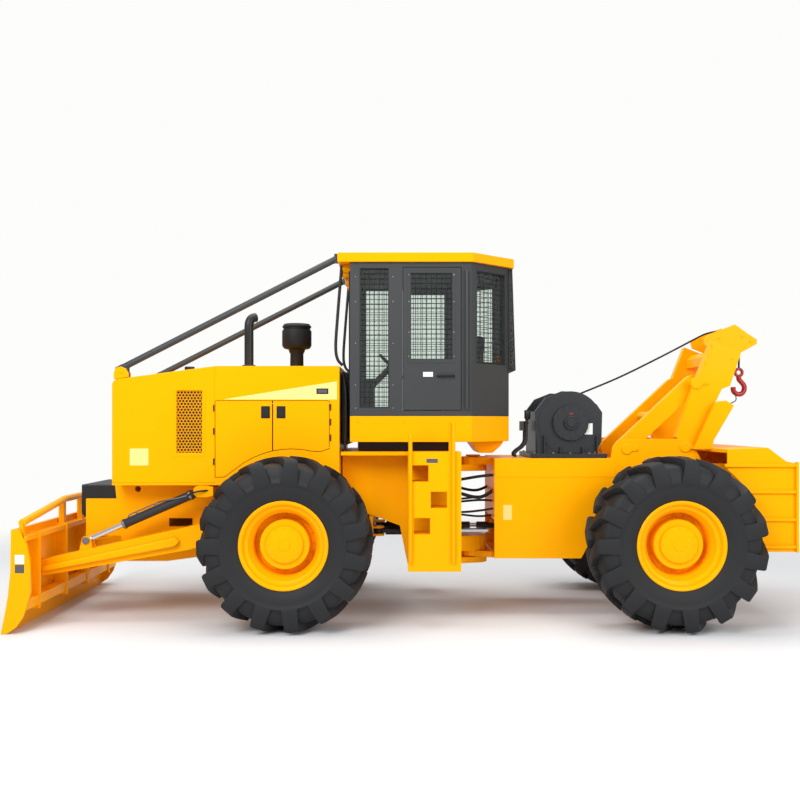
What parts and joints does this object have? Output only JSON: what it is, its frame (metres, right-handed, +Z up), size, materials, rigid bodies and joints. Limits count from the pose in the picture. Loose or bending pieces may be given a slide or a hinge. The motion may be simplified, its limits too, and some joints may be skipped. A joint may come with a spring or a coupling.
{
  "type": "cable skidder",
  "caption": "Articulated four-wheel cable skidder with a front blade, an enclosed cab, a winch, a fixed rear arch with a roller, and a butt plate",
  "frame": {"origin": "centre of the bounding box at floor level", "axes": "X runs from the front (-X) to the rear (+X), Y across, Z up"},
  "size_m": [8.2, 2.9908, 3.975],
  "materials": {
    "black_paint": "satin paint",
    "cast_steel": "worn steel",
    "chrome": "polished hard chrome",
    "glass": "clear",
    "grey_paint": "satin paint",
    "red_paint": "satin paint",
    "rubber": "matt tread rubber",
    "seat_cloth": "woven cloth",
    "slate_paint": "satin paint",
    "wire_rope": "drawn wire",
    "yellow_paint": "satin paint"
  },
  "bodies": {
    "front_frame": {"front_frame": "yellow_paint", "front_guard": "black_paint", "hood_nose": "yellow_paint", "hood_body": "yellow_paint", "engine": "cast_steel", "exhaust_stack": "cast_steel", "air_pre_cleaner": "black_paint", "limb_riser_left": "grey_paint", "limb_riser_right": "grey_paint", "cab_floor": "yellow_paint", "cab_shell": "grey_paint", "cab_roof": "yellow_paint", "glass_front": "glass", "glass_rear": "glass", "glass_quarter_left": "glass", "glass_quarter_right": "glass", "glass_corner_left": "glass", "glass_corner_right": "glass", "seat": "seat_cloth", "steering_column": "black_paint", "steps_left": "yellow_paint", "steps_right": "yellow_paint", "front_axle": "black_paint"},
    "engine_door_front_left": {"engine_door_front_left": "yellow_paint"},
    "engine_door_front_right": {"engine_door_front_right": "yellow_paint"},
    "engine_door_rear_left": {"engine_door_rear_left": "yellow_paint"},
    "engine_door_rear_right": {"engine_door_rear_right": "yellow_paint"},
    "cab_door_left": {"cab_door_left": "grey_paint", "glass_door_left": "glass"},
    "cab_door_right": {"cab_door_right": "grey_paint", "glass_door_right": "glass"},
    "blade": {"blade": "yellow_paint"},
    "lift_barrels": {"lift_barrel_left": "slate_paint", "lift_barrel_right": "slate_paint"},
    "lift_rods": {"lift_rod_left": "chrome", "lift_rod_right": "chrome"},
    "steer_barrel_left": {"steer_barrel_left": "black_paint"},
    "steer_rod_left": {"steer_rod_left": "chrome"},
    "steer_barrel_right": {"steer_barrel_right": "black_paint"},
    "steer_rod_right": {"steer_rod_right": "chrome"},
    "wheel_front_left": {"tyre_front_left": "rubber", "rim_front_left": "yellow_paint"},
    "wheel_front_right": {"tyre_front_right": "rubber", "rim_front_right": "yellow_paint"},
    "wheel_rear_left": {"tyre_rear_left": "rubber", "rim_rear_left": "yellow_paint"},
    "wheel_rear_right": {"tyre_rear_right": "rubber", "rim_rear_right": "yellow_paint"},
    "winch_drum": {"winch_drum": "cast_steel"},
    "arch_roller": {"arch_roller": "cast_steel"},
    "rear_frame": {"rear_frame": "yellow_paint", "rear_axle": "black_paint", "winch_housing": "slate_paint", "arch_columns": "yellow_paint", "arch_struts": "yellow_paint", "winch_rope": "wire_rope", "choker_hook": "red_paint", "butt_plate": "yellow_paint"}
  },
  "joints": [
    {"name": "articulation", "type": "hinge", "parent": "front_frame", "child": "rear_frame", "pos_m": [0.796, 0, 1.2], "axis": [0, 0, 1], "range_deg": [-40, 40]},
    {"name": "wheel_spin_front_left", "type": "hinge", "parent": "front_frame", "child": "wheel_front_left", "pos_m": [-1.237, -1.19, 0.9], "axis": [0, 1, 0], "continuous": true},
    {"name": "wheel_spin_front_right", "type": "hinge", "parent": "front_frame", "child": "wheel_front_right", "pos_m": [-1.237, 1.19, 0.9], "axis": [0, 1, 0], "continuous": true},
    {"name": "wheel_spin_rear_left", "type": "hinge", "parent": "rear_frame", "child": "wheel_rear_left", "pos_m": [2.782, -1.19, 0.9], "axis": [0, 1, 0], "continuous": true},
    {"name": "wheel_spin_rear_right", "type": "hinge", "parent": "rear_frame", "child": "wheel_rear_right", "pos_m": [2.782, 1.19, 0.9], "axis": [0, 1, 0], "continuous": true},
    {"name": "cab_door_swing_left", "type": "hinge", "parent": "front_frame", "child": "cab_door_left", "pos_m": [-0.025, -0.8, 2.272], "axis": [0, 0, -1], "range_deg": [0, 90]},
    {"name": "cab_door_swing_right", "type": "hinge", "parent": "front_frame", "child": "cab_door_right", "pos_m": [-0.025, 0.8, 2.272], "axis": [0, 0, 1], "range_deg": [0, 90]},
    {"name": "engine_door_front_swing_left", "type": "hinge", "parent": "front_frame", "child": "engine_door_front_left", "pos_m": [-2.06, -0.78, 2.384], "axis": [0, 0, -1], "range_deg": [0, 90]},
    {"name": "engine_door_rear_swing_left", "type": "hinge", "parent": "front_frame", "child": "engine_door_rear_left", "pos_m": [-0.828, -0.78, 2.384], "axis": [0, 0, 1], "range_deg": [0, 90]},
    {"name": "engine_door_front_swing_right", "type": "hinge", "parent": "front_frame", "child": "engine_door_front_right", "pos_m": [-2.06, 0.78, 2.384], "axis": [0, 0, 1], "range_deg": [0, 90]},
    {"name": "engine_door_rear_swing_right", "type": "hinge", "parent": "front_frame", "child": "engine_door_rear_right", "pos_m": [-0.828, 0.78, 2.384], "axis": [0, 0, -1], "range_deg": [0, 90]},
    {"name": "blade_lift", "type": "hinge", "parent": "front_frame", "child": "blade", "pos_m": [-2.19, 0, 0.93], "axis": [0, 1, 0], "range_deg": [-7, 21]},
    {"name": "lift_barrel_swing", "type": "hinge", "parent": "front_frame", "child": "lift_barrels", "pos_m": [-2.232, 0, 1.4], "axis": [0, 1, 0], "range_deg": [-8, 22]},
    {"name": "lift_rod_slide", "type": "slide", "parent": "lift_barrels", "child": "lift_rods", "axis": [-0.917, 0, -0.399], "range_m": [-0.19, 0.08]},
    {"name": "steer_barrel_swing_left", "type": "hinge", "parent": "front_frame", "child": "steer_barrel_left", "pos_m": [-0.3, -0.3, 0.915], "axis": [0, 0, 1], "range_deg": [-12, 12]},
    {"name": "steer_rod_slide_left", "type": "slide", "parent": "steer_barrel_left", "child": "steer_rod_left", "axis": [0.9996, 0.0286, 0], "range_m": [-0.24, 0.24]},
    {"name": "steer_barrel_swing_right", "type": "hinge", "parent": "front_frame", "child": "steer_barrel_right", "pos_m": [-0.3, 0.3, 0.915], "axis": [0, 0, 1], "range_deg": [-12, 12]},
    {"name": "steer_rod_slide_right", "type": "slide", "parent": "steer_barrel_right", "child": "steer_rod_right", "axis": [0.9996, -0.0286, 0], "range_m": [-0.24, 0.24]},
    {"name": "winch_drum_spin", "type": "hinge", "parent": "rear_frame", "child": "winch_drum", "pos_m": [1.855, 0, 2.139], "axis": [0, 1, 0], "continuous": true},
    {"name": "arch_roller_spin", "type": "hinge", "parent": "rear_frame", "child": "arch_roller", "pos_m": [3.83, 0, 3.06], "axis": [0, 1, 0], "continuous": true}
  ],
  "couplings": [
    {"joint": "lift_barrel_swing", "follows": "blade_lift", "ratio": 0.926},
    {"joint": "lift_rod_slide", "follows": "blade_lift", "m_per_rad": -0.458},
    {"joint": "steer_barrel_swing_left", "follows": "articulation", "ratio": 0.1982},
    {"joint": "steer_barrel_swing_right", "follows": "articulation", "ratio": 0.1982},
    {"joint": "steer_rod_slide_left", "follows": "articulation", "m_per_rad": 0.2574},
    {"joint": "steer_rod_slide_right", "follows": "articulation", "m_per_rad": -0.2574}
  ]
}
